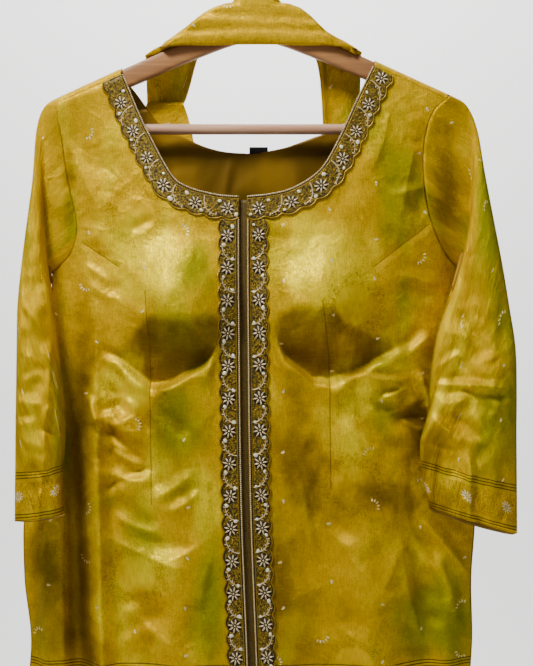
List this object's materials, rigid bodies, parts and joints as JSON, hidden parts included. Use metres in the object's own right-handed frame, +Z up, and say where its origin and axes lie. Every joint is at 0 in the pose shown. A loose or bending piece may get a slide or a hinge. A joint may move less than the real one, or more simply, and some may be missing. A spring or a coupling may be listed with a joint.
{
  "type": "sharara suit on a hanger",
  "caption": "Gold silk sharara suit, a kurta with embroidered neck and placket on a wooden hanger, its folded sharara over the hanger's arms.",
  "frame": {"origin": "inside top of the hanger's hook, where a rail carries it", "axes": "+Z up, -Y out of the front of the kurta, +X to the right as seen from the front"},
  "size_m": [0.5277, 0.1248, 0.8139],
  "materials": {
    "silk": "mustard gold silk jacquard with a satin sheen",
    "lining": "plain olive gold lining",
    "trim": "dark gold ground with gold cord, beads and sequins",
    "underlap": "dark gold woven strip",
    "label": "plain black woven label",
    "wood": "satin brown wood",
    "bar_wood": "pale wood dowel",
    "steel": "polished wire"
  },
  "bodies": {
    "root": {"kurta_front_left": "silk", "kurta_front_right": "silk", "kurta_back": "silk", "sleeve_left": "silk", "sleeve_right": "silk", "trim_neck_left": "trim", "trim_neck_right": "trim", "trim_placket_left": "trim", "trim_placket_right": "trim", "placket_underlap": "underlap", "kurta_back_lining": "lining", "neck_label": "label", "sharara_upper_legs": "silk", "sharara_flares": "silk", "sharara_waistband": "silk", "hanger_arms": "wood", "hanger_bar": "bar_wood", "hanger_hook": "steel"}
  },
  "joints": []
}
